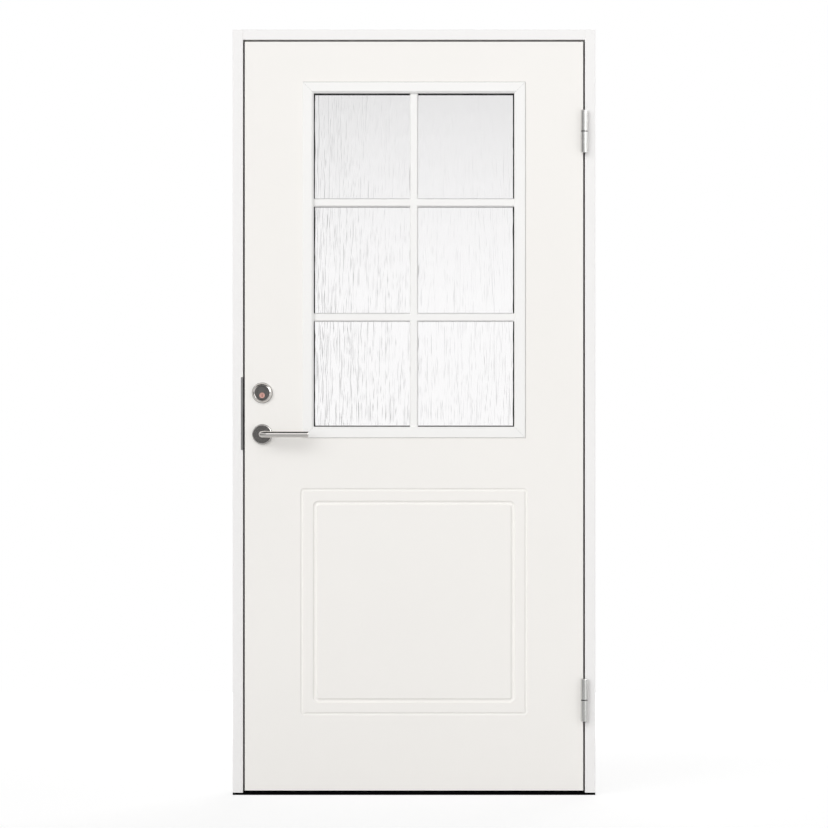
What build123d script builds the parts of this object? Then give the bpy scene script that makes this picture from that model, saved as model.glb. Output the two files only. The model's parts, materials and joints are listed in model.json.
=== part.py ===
from build123d import *
from math import hypot
import os

os.makedirs("parts", exist_ok=True)

# An outward-opening exterior door in its frame, seen from the street: X to the right, towards the hinges,
# Y into the house, Z up. The origin is on the underside of the threshold, in the middle of the frame.

# Frame
FRAME_WIDTH = 990.0
FRAME_HEIGHT = 2090.0
FRAME_DEPTH = 105.0
JAMB_FACE = 28.0
STOP_WIDTH = 20.0
FRAME_EDGE_ROUND = 1.5
FIXING_HOLE_RADIUS = 5.25
FIXING_SPACING = 600.0
FIXING_FROM_FOOT = 480.0
FIXING_FROM_TOP = 510.0

# Threshold
STRIP_THICKNESS = 6.5
UPSTAND_HEIGHT = 18.5
UPSTAND_ROUND = 3.0

# Leaf
LEAF_THICKNESS = 62.0
LEAF_GAP = 5.0
LEAF_FOOT_GAP = 5.5
LOCK_BEVEL = 3.0
LEAF_EDGE_ROUND = 1.0
SKIN_THICKNESS = 8.0
LOCK_STILE_WIDTH = 80.0
HINGE_STILE_WIDTH = 60.0
TOP_RAIL_HEIGHT = 80.0
BOTTOM_RAIL_HEIGHT = 100.0

# Seals between leaf and stops
SEAL_SPACE = 5.0
SEAL_CLEARANCE = 0.5
SEAL_WIDTH = 9.0
SEAL_ROUND = 2.5

# Routed panel below the window
PANEL_FROM_FOOT = 515.5
OUTER_GROOVE_SIDE = 612.0
OUTER_GROOVE_CUTTER = 5.0
OUTER_GROOVE_DEPTH = 2.5
OUTER_GROOVE_CORNER = 6.5
INNER_GROOVE_SIDE = 540.0
INNER_GROOVE_CUTTER = 7.0
INNER_GROOVE_DEPTH = 3.5
INNER_GROOVE_CORNER = 10.0

# Window
SIGHT_WIDTH = 548.0
SIGHT_FROM_FOOT = 993.5
SIGHT_FROM_TOP = 140.5
BEAD_FACE = 30.0
BEAD_PROUD = 4.0
BEAD_EDGE_CHAMFER = 1.5
BEAD_BEVEL_WIDTH = 5.5
BEAD_BEVEL_DEPTH = 4.0
BEAD_SEAT = 14.0
GLASS_EDGE_GAP = 3.0
PANE_THICKNESS = 4.0
SPACER_DEPTH = 16.0
SPACER_WIDTH = 14.0
GASKET_THICKNESS = 2.0
GASKET_SHOWS = 2.0
BAR_WIDTH = 22.0
BAR_DEPTH = 12.0
BAR_CHAMFER = 3.0
PANE_COLUMNS = 2
PANE_ROWS = 3
ROW_PITCH_SHARE = 0.344

# Lock
LOCK_BACKSET = 47.5
SPINDLE_Z = 985.0
CYLINDER_RISE = 113.0
FOREND_WIDTH = 22.0
FOREND_HEIGHT = 235.0
FOREND_THICKNESS = 3.0
CASE_THICKNESS = 16.0
CASE_HEIGHT = 175.0
CASE_DEPTH = 68.0
CASE_CLEARANCE = 0.5
LATCH_RISE = 15.0
LATCH_HEIGHT = 24.0
DEAD_BOLT_RISE = 95.0
DEAD_BOLT_HEIGHT = 36.0
BOLT_THICKNESS = 14.0
BOLT_CLEARANCE = 0.4
STRIKE_HEIGHT = 200.0
STRIKE_THICKNESS = 3.0
STRIKE_LIP = 5.7
STRIKE_DEPTH = 45.0
STRIKE_CORNER = 3.0
KEEP_MARGIN = 2.0
KEEP_DEPTH = 16.0

# Key cylinder and its ring
RING_RADIUS = 27.5
RING_HEIGHT = 12.0
RING_RIM_RADIUS = 24.5
RING_DISH_RADIUS = 21.0
RING_DISH_DEPTH = 8.0
CYLINDER_WIDTH = 20.0
CYLINDER_HEIGHT = 36.0
CYLINDER_PROUD = 4.0
CYLINDER_CLEARANCE = 0.4
PLUG_RADIUS = 7.5
PLUG_DROP = 7.0
PLUG_PROUD = 1.0
PLUG_LENGTH = 20.0
PLUG_CLEARANCE = 0.05
KEYWAY_WIDTH = 2.2
KEYWAY_HEIGHT = 9.0
KEYWAY_DEPTH = 12.0
TURN_NECK_RADIUS = 8.0
TURN_NECK_LENGTH = 10.0
TURN_WIDTH = 12.0
TURN_HEIGHT = 36.0
TURN_DEPTH = 16.0
TURN_ROUND = 4.0

# Lever handles
ROSE_RADIUS = 26.75
ROSE_HEIGHT = 9.0
ROSE_ROUND = 2.0
LEVER_RADIUS = 8.5
LEVER_REACH = 127.5
LEVER_STAND_OFF = 50.0
LEVER_BEND = 18.0
LEVER_END_ROUND = 2.0
LEVER_CLEARANCE = 0.3
SPINDLE_SIDE = 8.0
SPINDLE_SOCKET = 24.0
SPINDLE_CLEARANCE = 0.05
SPINDLE_HOLE_RADIUS = 9.0

# Lift-off hinges
HINGE_FROM_FOOT = 248.0
HINGE_FROM_TOP = 245.5
HINGE_LENGTH = 117.0
KNUCKLE_RADIUS = 9.5
KNUCKLE_STAND_OFF = 11.0
KNUCKLE_ROUND = 2.0
HINGE_PIN_RADIUS = 5.0
HINGE_PIN_LENGTH = 40.0
HINGE_PIN_CLEARANCE = 0.08
HINGE_SPLIT = 2.6
HINGE_COLLAR_RADIUS = 6.5
HINGE_COLLAR_CLEARANCE = 0.3
WING_THICKNESS = 3.0
WING_DEPTH = 30.0

# Places that follow from the sizes
front_y = -FRAME_DEPTH / 2
back_y = FRAME_DEPTH / 2
leaf_back_y = front_y + LEAF_THICKNESS
leaf_mid_y = (front_y + leaf_back_y) / 2
stop_y = leaf_back_y + SEAL_SPACE
core_front_y = front_y + SKIN_THICKNESS
core_back_y = leaf_back_y - SKIN_THICKNESS
frame_x = FRAME_WIDTH / 2
jamb_x = frame_x - JAMB_FACE
stop_x = jamb_x - STOP_WIDTH
leaf_x = jamb_x - LEAF_GAP
head_z = FRAME_HEIGHT - JAMB_FACE
head_stop_z = head_z - STOP_WIDTH
leaf_top_z = head_z - LEAF_GAP
leaf_bottom_z = STRIP_THICKNESS + LEAF_FOOT_GAP
upstand_top_z = STRIP_THICKNESS + UPSTAND_HEIGHT
lock_x = LOCK_BACKSET - leaf_x
cylinder_z = SPINDLE_Z + CYLINDER_RISE
lock_mid_z = (SPINDLE_Z + cylinder_z) / 2
bolts = {
    "latch_bolt": (SPINDLE_Z + LATCH_RISE, LATCH_HEIGHT),
    "dead_bolt": (SPINDLE_Z + DEAD_BOLT_RISE, DEAD_BOLT_HEIGHT),
}
hinge_axis_x = (leaf_x + jamb_x) / 2
hinge_axis_y = front_y - KNUCKLE_STAND_OFF
hinge_centres = {"lower": leaf_bottom_z + HINGE_FROM_FOOT, "upper": leaf_top_z - HINGE_FROM_TOP}
fixing_pair_centres = (FIXING_FROM_FOOT, FRAME_HEIGHT - FIXING_FROM_TOP)
panel_centre_z = leaf_bottom_z + PANEL_FROM_FOOT
sight_low_z = leaf_bottom_z + SIGHT_FROM_FOOT
sight_high_z = leaf_top_z - SIGHT_FROM_TOP
sight_centre_z = (sight_low_z + sight_high_z) / 2
sight_height = sight_high_z - sight_low_z
row_pitch = sight_height * ROW_PITCH_SHARE
cutout_width = SIGHT_WIDTH + 2 * BEAD_SEAT
cutout_height = sight_height + 2 * BEAD_SEAT
glass_width = cutout_width - 2 * GLASS_EDGE_GAP
glass_height = cutout_height - 2 * GLASS_EDGE_GAP
unit_half = PANE_THICKNESS + SPACER_DEPTH / 2

# The two faces of the leaf: where each lies in Y, and which way it looks
FACES = {"outer": (front_y, -1), "inner": (leaf_back_y, 1)}


def upright(y):
    """The plane at depth y that is sketched in X and Z."""
    return Plane.XZ.offset(-y)


def lock_edge(y):
    """The X of the leaf's bevelled lock edge at depth y."""
    return LOCK_BEVEL * (y - front_y) / LEAF_THICKNESS - leaf_x


def edge_strip(half_width, near, far):
    """Corners of a strip along the lock edge, between two distances in from it."""
    low_y = leaf_mid_y - half_width
    high_y = leaf_mid_y + half_width
    return (
        (lock_edge(low_y) + near, low_y),
        (lock_edge(high_y) + near, high_y),
        (lock_edge(high_y) + far, high_y),
        (lock_edge(low_y) + far, low_y),
    )


def plan(points, low_z, high_z, mode=Mode.ADD):
    """Raise a plan outline from one level to another."""
    with BuildSketch(Plane.XY.offset(low_z)) as outline:
        Polygon(*points, align=None)
    extrude(outline.sketch, amount=high_z - low_z, mode=mode)


def block(x, y, z, mode=Mode.ADD):
    """A plain block between pairs of limits."""
    plan(((x[0], y[0]), (x[1], y[0]), (x[1], y[1]), (x[0], y[1])), z[0], z[1], mode)


def keep(bolt_z, bolt_height, depth):
    """Cut one bolt's pocket into the lock side's edge of the opening."""
    keep_y = BOLT_THICKNESS / 2 + KEEP_MARGIN
    keep_z = bolt_height / 2 + KEEP_MARGIN
    block(
        (-jamb_x - depth, -jamb_x),
        (leaf_mid_y - keep_y, leaf_mid_y + keep_y),
        (bolt_z - keep_z, bolt_z + keep_z),
        Mode.SUBTRACT,
    )


def window(y, width, height):
    """A rectangle about the window's middle, at depth y."""
    with BuildSketch(upright(y)) as outline:
        with Locations((0, sight_centre_z)):
            Rectangle(width, height)
    return outline.sketch


def window_ring(y, depth, outside, inside):
    """A rectangular ring about the window, from depth y towards the house."""
    extrude(window(y, *outside), amount=-depth)
    extrude(window(y, *inside), amount=-depth, mode=Mode.SUBTRACT)


def lock_hole(z, radius, y, depth, mode=Mode.SUBTRACT):
    """A round bar or hole on the lock's line, from depth y towards the house."""
    with BuildSketch(upright(y)) as outline:
        with Locations((lock_x, z)):
            Circle(radius)
    extrude(outline.sketch, amount=-depth, mode=mode)


def cylinder_oval(y, depth, margin, mode=Mode.ADD):
    """The key cylinder's oval, from depth y towards the house."""
    with BuildSketch(upright(y)) as outline:
        with Locations((lock_x, cylinder_z)):
            SlotOverall(CYLINDER_HEIGHT + 2 * margin, CYLINDER_WIDTH + 2 * margin, rotation=90)
    extrude(outline.sketch, amount=-depth, mode=mode)


def groove(face_y, outward, side, cutter, depth, corner):
    """Rout a rounded groove along a square on one face of the leaf."""
    half = side / 2
    low_z = panel_centre_z - half
    high_z = panel_centre_z + half
    y = face_y + outward * (cutter - depth)
    corners = ((-half, low_z), (half, low_z), (half, high_z), (-half, high_z))
    with BuildLine() as route:
        FilletPolyline(*((x, y, z) for x, z in corners), radius=corner, close=True)
    with BuildSketch(Plane(origin=route.line @ 0, z_dir=route.line % 0)) as section:
        Circle(cutter)
    sweep(section.sketch, path=route.line, mode=Mode.SUBTRACT)


# Hinges: the lower half of each carries the pin and is let into the jamb, the upper half hangs the leaf
hinge_leaf_halves = {}
hinge_frame_halves = {}
for place, centre_z in hinge_centres.items():
    low_z = centre_z - HINGE_LENGTH / 2
    high_z = centre_z + HINGE_LENGTH / 2
    split_low_z = centre_z - HINGE_SPLIT / 2
    split_high_z = centre_z + HINGE_SPLIT / 2
    axis = (hinge_axis_x, hinge_axis_y)
    wing_y = (hinge_axis_y, front_y + WING_DEPTH)

    with BuildPart() as leaf_half:
        with BuildSketch(Plane.XY.offset(split_high_z)):
            with Locations(axis):
                Circle(KNUCKLE_RADIUS)
        extrude(amount=high_z - split_high_z)
        fillet(leaf_half.edges().group_by(Axis.Z)[-1], KNUCKLE_ROUND)
        block((leaf_x - WING_THICKNESS, leaf_x), wing_y, (split_high_z, high_z - KNUCKLE_ROUND))
        with BuildSketch(Plane.XY.offset(split_high_z)):
            with Locations(axis):
                Circle(HINGE_PIN_RADIUS + HINGE_PIN_CLEARANCE)
        extrude(amount=HINGE_PIN_LENGTH, mode=Mode.SUBTRACT)
    leaf_half.part.label = f"{place}_hinge_leaf_half"
    export_step(leaf_half.part, f"parts/{place}_hinge_leaf_half.step")
    hinge_leaf_halves[place] = leaf_half.part

    with BuildPart() as frame_half:
        with BuildSketch(Plane.XY.offset(low_z)):
            with Locations(axis):
                Circle(KNUCKLE_RADIUS)
        extrude(amount=split_low_z - low_z)
        fillet(frame_half.edges().group_by(Axis.Z)[0], KNUCKLE_ROUND)
        block((jamb_x, jamb_x + WING_THICKNESS), wing_y, (low_z + KNUCKLE_ROUND, split_low_z))
        with BuildSketch(Plane.XY.offset(split_low_z)):
            with Locations(axis):
                Circle(HINGE_COLLAR_RADIUS)
        extrude(amount=HINGE_SPLIT - HINGE_COLLAR_CLEARANCE)
        with BuildSketch(Plane.XY.offset(split_low_z)):
            with Locations(axis):
                Circle(HINGE_PIN_RADIUS)
        extrude(amount=HINGE_PIN_LENGTH)
    frame_half.part.label = f"{place}_hinge_frame_half"
    export_step(frame_half.part, f"parts/{place}_hinge_frame_half.step")
    hinge_frame_halves[place] = frame_half.part

# Strike plate: a flat let into the jamb's edge, with a lip that shows on the outside
strike_low_z = lock_mid_z - STRIKE_HEIGHT / 2
strike_high_z = lock_mid_z + STRIKE_HEIGHT / 2
with BuildPart() as strike_plate:
    block(
        (-jamb_x - STRIKE_LIP, -jamb_x),
        (front_y, front_y + STRIKE_THICKNESS),
        (strike_low_z, strike_high_z),
    )
    fillet(strike_plate.edges().filter_by(Axis.Y).group_by(Axis.X)[0], STRIKE_CORNER)
    block(
        (-jamb_x - STRIKE_THICKNESS, -jamb_x),
        (front_y, front_y + STRIKE_DEPTH),
        (strike_low_z, strike_high_z),
    )
    strike_outline = strike_plate.part
    for bolt_z, bolt_height in bolts.values():
        keep(bolt_z, bolt_height, STRIKE_THICKNESS)
strike_plate.part.label = "strike_plate"
export_step(strike_plate.part, "parts/strike_plate.step")

# Jambs: the full height of the frame, standing on the threshold strip, with a stop behind the leaf
fixing_y = (stop_y + back_y) / 2
for jamb_name, side in (("lock_jamb", -1), ("hinge_jamb", 1)):
    with BuildPart() as jamb:
        plan(
            (
                (side * jamb_x, front_y),
                (side * frame_x, front_y),
                (side * frame_x, back_y),
                (side * stop_x, back_y),
                (side * stop_x, stop_y),
                (side * jamb_x, stop_y),
            ),
            STRIP_THICKNESS,
            FRAME_HEIGHT,
        )
        front_edges = jamb.edges().filter_by(Axis.Z).group_by(Axis.Y)[0]
        fillet(front_edges, FRAME_EDGE_ROUND)
        with BuildSketch(Plane.YZ.offset(-frame_x)):
            for pair_z in fixing_pair_centres:
                for step in (-1, 1):
                    with Locations((fixing_y, pair_z + step * FIXING_SPACING / 2)):
                        Circle(FIXING_HOLE_RADIUS)
        extrude(amount=FRAME_WIDTH, mode=Mode.SUBTRACT)
        if side < 0:
            add(strike_outline, mode=Mode.SUBTRACT)
            for bolt_z, bolt_height in bolts.values():
                keep(bolt_z, bolt_height, KEEP_DEPTH)
        else:
            for frame_half_part in hinge_frame_halves.values():
                add(frame_half_part, mode=Mode.SUBTRACT)
    jamb.part.label = jamb_name
    export_step(jamb.part, f"parts/{jamb_name}.step")

# Head: between the jambs, with the same stop
with BuildPart() as head_jamb:
    block((-jamb_x, jamb_x), (front_y, stop_y), (head_z, FRAME_HEIGHT))
    fillet(head_jamb.edges().filter_by(Axis.X).group_by(Axis.Y)[0], FRAME_EDGE_ROUND)
    block((-stop_x, stop_x), (stop_y, back_y), (head_stop_z, FRAME_HEIGHT))
head_jamb.part.label = "head_jamb"
export_step(head_jamb.part, "parts/head_jamb.step")

# Threshold: a thin strip under the whole frame, and an upstand that the foot of the leaf closes on
with BuildPart() as threshold_strip:
    block((-frame_x, frame_x), (front_y, back_y), (0, STRIP_THICKNESS))
threshold_strip.part.label = "threshold_strip"
export_step(threshold_strip.part, "parts/threshold_strip.step")

with BuildPart() as threshold_upstand:
    block((-stop_x, stop_x), (stop_y, back_y), (STRIP_THICKNESS, upstand_top_z))
    fillet(threshold_upstand.edges().filter_by(Axis.X).group_by(Axis.Z)[-1], UPSTAND_ROUND)
threshold_upstand.part.label = "threshold_upstand"
export_step(threshold_upstand.part, "parts/threshold_upstand.step")

# Seals on the stops, just short of the closed leaf
seal_mid_x = (stop_x + leaf_x) / 2
seal_low_z = (leaf_bottom_z + upstand_top_z) / 2 - SEAL_WIDTH / 2
seal_high_z = (head_stop_z + leaf_top_z) / 2 + SEAL_WIDTH / 2
seal_y = (leaf_back_y + SEAL_CLEARANCE, stop_y)
for seal_name, middle_x in (("lock_side_seal", -seal_mid_x), ("hinge_side_seal", seal_mid_x)):
    with BuildPart() as side_seal:
        block(
            (middle_x - SEAL_WIDTH / 2, middle_x + SEAL_WIDTH / 2),
            seal_y,
            (seal_low_z, seal_high_z),
        )
        fillet(side_seal.edges().filter_by(Axis.Z).group_by(Axis.Y)[0], SEAL_ROUND)
    side_seal.part.label = seal_name
    export_step(side_seal.part, f"parts/{seal_name}.step")

cross_seal_x = seal_mid_x - SEAL_WIDTH / 2
for seal_name, low_z in (("threshold_seal", seal_low_z), ("head_seal", seal_high_z - SEAL_WIDTH)):
    with BuildPart() as cross_seal:
        block((-cross_seal_x, cross_seal_x), seal_y, (low_z, low_z + SEAL_WIDTH))
        fillet(cross_seal.edges().filter_by(Axis.X).group_by(Axis.Y)[0], SEAL_ROUND)
    cross_seal.part.label = seal_name
    export_step(cross_seal.part, f"parts/{seal_name}.step")

# Leaf: two routed skins on a core framed by stiles and rails
for face_name, (face_y, outward) in FACES.items():
    skin_y = min(face_y, face_y - outward * SKIN_THICKNESS)
    with BuildPart() as skin:
        plan(
            (
                (lock_edge(skin_y), skin_y),
                (leaf_x, skin_y),
                (leaf_x, skin_y + SKIN_THICKNESS),
                (lock_edge(skin_y + SKIN_THICKNESS), skin_y + SKIN_THICKNESS),
            ),
            leaf_bottom_z,
            leaf_top_z,
        )
        outline = skin.faces().sort_by(Axis.Y)[0 if outward < 0 else -1].edges()
        fillet(outline, LEAF_EDGE_ROUND)
        extrude(window(skin_y, cutout_width, cutout_height), amount=-SKIN_THICKNESS, mode=Mode.SUBTRACT)
        lock_hole(SPINDLE_Z, SPINDLE_HOLE_RADIUS, skin_y, SKIN_THICKNESS)
        cylinder_oval(skin_y, SKIN_THICKNESS, CYLINDER_CLEARANCE, Mode.SUBTRACT)
        if outward < 0:
            for leaf_half_part in hinge_leaf_halves.values():
                add(leaf_half_part, mode=Mode.SUBTRACT)
        groove(
            face_y,
            outward,
            OUTER_GROOVE_SIDE,
            OUTER_GROOVE_CUTTER,
            OUTER_GROOVE_DEPTH,
            OUTER_GROOVE_CORNER,
        )
        groove(
            face_y,
            outward,
            INNER_GROOVE_SIDE,
            INNER_GROOVE_CUTTER,
            INNER_GROOVE_DEPTH,
            INNER_GROOVE_CORNER,
        )
    skin.part.label = f"{face_name}_skin"
    export_step(skin.part, f"parts/{face_name}_skin.step")

core_y = (core_front_y, core_back_y)
core_thickness = core_back_y - core_front_y
core_low_z = leaf_bottom_z + BOTTOM_RAIL_HEIGHT
core_high_z = leaf_top_z - TOP_RAIL_HEIGHT
lock_stile_x = LOCK_STILE_WIDTH - leaf_x
hinge_stile_x = leaf_x - HINGE_STILE_WIDTH
with BuildPart() as leaf_core:
    block((lock_stile_x, hinge_stile_x), core_y, (core_low_z, core_high_z))
    extrude(window(core_front_y, cutout_width, cutout_height), amount=-core_thickness, mode=Mode.SUBTRACT)
leaf_core.part.label = "leaf_core"
export_step(leaf_core.part, "parts/leaf_core.step")

rails = (("bottom_rail", leaf_bottom_z, core_low_z), ("top_rail", core_high_z, leaf_top_z))
for rail_name, low_z, high_z in rails:
    with BuildPart() as rail:
        block((lock_stile_x, hinge_stile_x), core_y, (low_z, high_z))
    rail.part.label = rail_name
    export_step(rail.part, f"parts/{rail_name}.step")

with BuildPart() as hinge_stile:
    block((hinge_stile_x, leaf_x), core_y, (leaf_bottom_z, leaf_top_z))
    for leaf_half_part in hinge_leaf_halves.values():
        add(leaf_half_part, mode=Mode.SUBTRACT)
hinge_stile.part.label = "hinge_stile"
export_step(hinge_stile.part, "parts/hinge_stile.step")

case_low_z = lock_mid_z - CASE_HEIGHT / 2
case_high_z = lock_mid_z + CASE_HEIGHT / 2
case_front_y = leaf_mid_y - CASE_THICKNESS / 2
case_back_y = leaf_mid_y + CASE_THICKNESS / 2
case_far = FOREND_THICKNESS + CASE_DEPTH
forend_low_z = lock_mid_z - FOREND_HEIGHT / 2
forend_high_z = lock_mid_z + FOREND_HEIGHT / 2
with BuildPart() as lock_stile:
    plan(
        (
            (lock_edge(core_front_y), core_front_y),
            (lock_stile_x, core_front_y),
            (lock_stile_x, core_back_y),
            (lock_edge(core_back_y), core_back_y),
        ),
        leaf_bottom_z,
        leaf_top_z,
    )
    plan(edge_strip(FOREND_WIDTH / 2, 0, FOREND_THICKNESS), forend_low_z, forend_high_z, Mode.SUBTRACT)
    plan(
        edge_strip(CASE_THICKNESS / 2 + CASE_CLEARANCE, 0, case_far + CASE_CLEARANCE),
        case_low_z - CASE_CLEARANCE,
        case_high_z + CASE_CLEARANCE,
        Mode.SUBTRACT,
    )
    lock_hole(SPINDLE_Z, SPINDLE_HOLE_RADIUS, core_front_y, core_thickness)
    cylinder_oval(core_front_y, core_thickness, CYLINDER_CLEARANCE, Mode.SUBTRACT)
lock_stile.part.label = "lock_stile"
export_step(lock_stile.part, "parts/lock_stile.step")

# Mortice lock: case, forend and the two bolts, drawn back level with the forend
spindle_turn_radius = hypot(SPINDLE_SIDE, SPINDLE_SIDE) / 2 + CASE_CLEARANCE
with BuildPart() as lock_case:
    plan(edge_strip(CASE_THICKNESS / 2, FOREND_THICKNESS, case_far), case_low_z, case_high_z)
    lock_hole(SPINDLE_Z, spindle_turn_radius, case_front_y, CASE_THICKNESS)
lock_case.part.label = "lock_case"
export_step(lock_case.part, "parts/lock_case.step")

with BuildPart() as lock_forend:
    plan(edge_strip(FOREND_WIDTH / 2, 0, FOREND_THICKNESS), forend_low_z, forend_high_z)
    for bolt_z, bolt_height in bolts.values():
        plan(
            edge_strip(BOLT_THICKNESS / 2 + BOLT_CLEARANCE, 0, FOREND_THICKNESS),
            bolt_z - bolt_height / 2 - BOLT_CLEARANCE,
            bolt_z + bolt_height / 2 + BOLT_CLEARANCE,
            Mode.SUBTRACT,
        )
lock_forend.part.label = "lock_forend"
export_step(lock_forend.part, "parts/lock_forend.step")

for bolt_name, (bolt_z, bolt_height) in bolts.items():
    with BuildPart() as bolt:
        plan(
            edge_strip(BOLT_THICKNESS / 2, 0, FOREND_THICKNESS),
            bolt_z - bolt_height / 2,
            bolt_z + bolt_height / 2,
        )
    bolt.part.label = bolt_name
    export_step(bolt.part, f"parts/{bolt_name}.step")

# Window: a sealed pair of panes held between two beaded frames, each with its bars
sight = (SIGHT_WIDTH, sight_height)
ends_x = SIGHT_WIDTH / 2
ends_z = sight_height / 2
cutout = (cutout_width, cutout_height)
glass = (glass_width, glass_height)
bead = (SIGHT_WIDTH + 2 * BEAD_FACE, sight_height + 2 * BEAD_FACE)
gasket_sight = (SIGHT_WIDTH - 2 * GASKET_SHOWS, sight_height - 2 * GASKET_SHOWS)
spacer_sight = (glass_width - 2 * SPACER_WIDTH, glass_height - 2 * SPACER_WIDTH)
bevel_mouth = (SIGHT_WIDTH + 2 * BEAD_BEVEL_WIDTH, sight_height + 2 * BEAD_BEVEL_WIDTH)
for face_name, (face_y, outward) in FACES.items():
    glass_y = leaf_mid_y + outward * unit_half
    gasket_y = glass_y + outward * GASKET_THICKNESS
    proud_y = face_y + outward * BEAD_PROUD

    with BuildPart() as glazing_frame:
        window_ring(min(face_y, proud_y), BEAD_PROUD, bead, sight)
        rim = glazing_frame.faces().sort_by(Axis.Y)[0 if outward < 0 else -1].outer_wire().edges()
        chamfer(rim, BEAD_EDGE_CHAMFER)
        window_ring(min(face_y, gasket_y), abs(face_y - gasket_y), cutout, sight)
        bevel_foot_y = proud_y - outward * BEAD_BEVEL_DEPTH
        loft([window(proud_y, *bevel_mouth), window(bevel_foot_y, *sight)], mode=Mode.SUBTRACT)
    glazing_frame.part.label = f"{face_name}_glazing_frame"
    export_step(glazing_frame.part, f"parts/{face_name}_glazing_frame.step")

    with BuildPart() as gasket:
        window_ring(min(glass_y, gasket_y), GASKET_THICKNESS, glass, gasket_sight)
    gasket.part.label = f"{face_name}_glass_gasket"
    export_step(gasket.part, f"parts/{face_name}_glass_gasket.step")

    with BuildPart() as pane:
        extrude(window(glass_y, *glass), amount=outward * PANE_THICKNESS)
    pane.part.label = f"{face_name}_pane"
    export_step(pane.part, f"parts/{face_name}_pane.step")

    with BuildPart() as glazing_bars:
        with BuildSketch(upright(gasket_y)):
            for column in range(1, PANE_COLUMNS):
                bar_x = SIGHT_WIDTH * column / PANE_COLUMNS - ends_x
                with Locations((bar_x, sight_centre_z)):
                    Rectangle(BAR_WIDTH, sight_height)
            for row in range(1, PANE_ROWS):
                bar_z = sight_centre_z + (row - PANE_ROWS / 2) * row_pitch
                with Locations((0, bar_z)):
                    Rectangle(SIGHT_WIDTH, BAR_WIDTH)
        extrude(amount=-outward * BAR_DEPTH)
        bar_front = glazing_bars.faces().sort_by(Axis.Y)[0 if outward < 0 else -1]
        long_edges = [
            edge
            for edge in bar_front.edges()
            if abs(edge.center().X) < ends_x - BAR_CHAMFER
            and abs(edge.center().Z - sight_centre_z) < ends_z - BAR_CHAMFER
        ]
        chamfer(long_edges, BAR_CHAMFER)
    glazing_bars.part.label = f"{face_name}_glazing_bars"
    export_step(glazing_bars.part, f"parts/{face_name}_glazing_bars.step")

with BuildPart() as glass_spacer:
    window_ring(leaf_mid_y - SPACER_DEPTH / 2, SPACER_DEPTH, glass, spacer_sight)
glass_spacer.part.label = "glass_spacer"
export_step(glass_spacer.part, "parts/glass_spacer.step")

# Key cylinder on the street side, in its bevelled ring
ring_front_y = front_y - RING_HEIGHT
dish_y = ring_front_y + RING_DISH_DEPTH
cylinder_front_y = dish_y - CYLINDER_PROUD
plug_z = cylinder_z - PLUG_DROP
plug_front_y = cylinder_front_y - PLUG_PROUD
with BuildPart() as cylinder_ring:
    with BuildSketch(upright(front_y)):
        with Locations((lock_x, cylinder_z)):
            Circle(RING_RADIUS)
    with BuildSketch(upright(ring_front_y)):
        with Locations((lock_x, cylinder_z)):
            Circle(RING_RIM_RADIUS)
    loft()
    lock_hole(cylinder_z, RING_DISH_RADIUS, ring_front_y, RING_DISH_DEPTH)
    cylinder_oval(dish_y, front_y - dish_y, CYLINDER_CLEARANCE, Mode.SUBTRACT)
cylinder_ring.part.label = "cylinder_ring"
export_step(cylinder_ring.part, "parts/cylinder_ring.step")

with BuildPart() as lock_cylinder:
    cylinder_oval(cylinder_front_y, case_front_y - cylinder_front_y, 0)
    lock_hole(plug_z, PLUG_RADIUS + PLUG_CLEARANCE, cylinder_front_y, PLUG_LENGTH)
lock_cylinder.part.label = "lock_cylinder"
export_step(lock_cylinder.part, "parts/lock_cylinder.step")

with BuildPart() as key_plug:
    plug_back_y = cylinder_front_y + PLUG_LENGTH - PLUG_CLEARANCE
    lock_hole(plug_z, PLUG_RADIUS, plug_front_y, plug_back_y - plug_front_y, Mode.ADD)
    with BuildSketch(upright(plug_front_y)):
        with Locations((lock_x, plug_z)):
            Rectangle(KEYWAY_WIDTH, KEYWAY_HEIGHT)
    extrude(amount=-KEYWAY_DEPTH, mode=Mode.SUBTRACT)
key_plug.part.label = "key_plug"
export_step(key_plug.part, "parts/key_plug.step")

# Thumb turn on the house side, on a rose like the levers'
with BuildPart() as thumb_turn:
    neck_y = leaf_back_y + ROSE_HEIGHT
    lock_hole(cylinder_z, TURN_NECK_RADIUS, neck_y, TURN_NECK_LENGTH, Mode.ADD)
    with BuildSketch(upright(neck_y + TURN_NECK_LENGTH)):
        with Locations((lock_x, cylinder_z)):
            RectangleRounded(TURN_WIDTH, TURN_HEIGHT, TURN_ROUND)
    extrude(amount=-TURN_DEPTH)
thumb_turn.part.label = "thumb_turn"
export_step(thumb_turn.part, "parts/thumb_turn.step")

with BuildPart() as thumb_turn_rose:
    lock_hole(cylinder_z, ROSE_RADIUS, leaf_back_y, ROSE_HEIGHT, Mode.ADD)
    fillet(thumb_turn_rose.edges().group_by(Axis.Y)[-1], ROSE_ROUND)
thumb_turn_rose.part.label = "thumb_turn_rose"
export_step(thumb_turn_rose.part, "parts/thumb_turn_rose.step")

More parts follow.
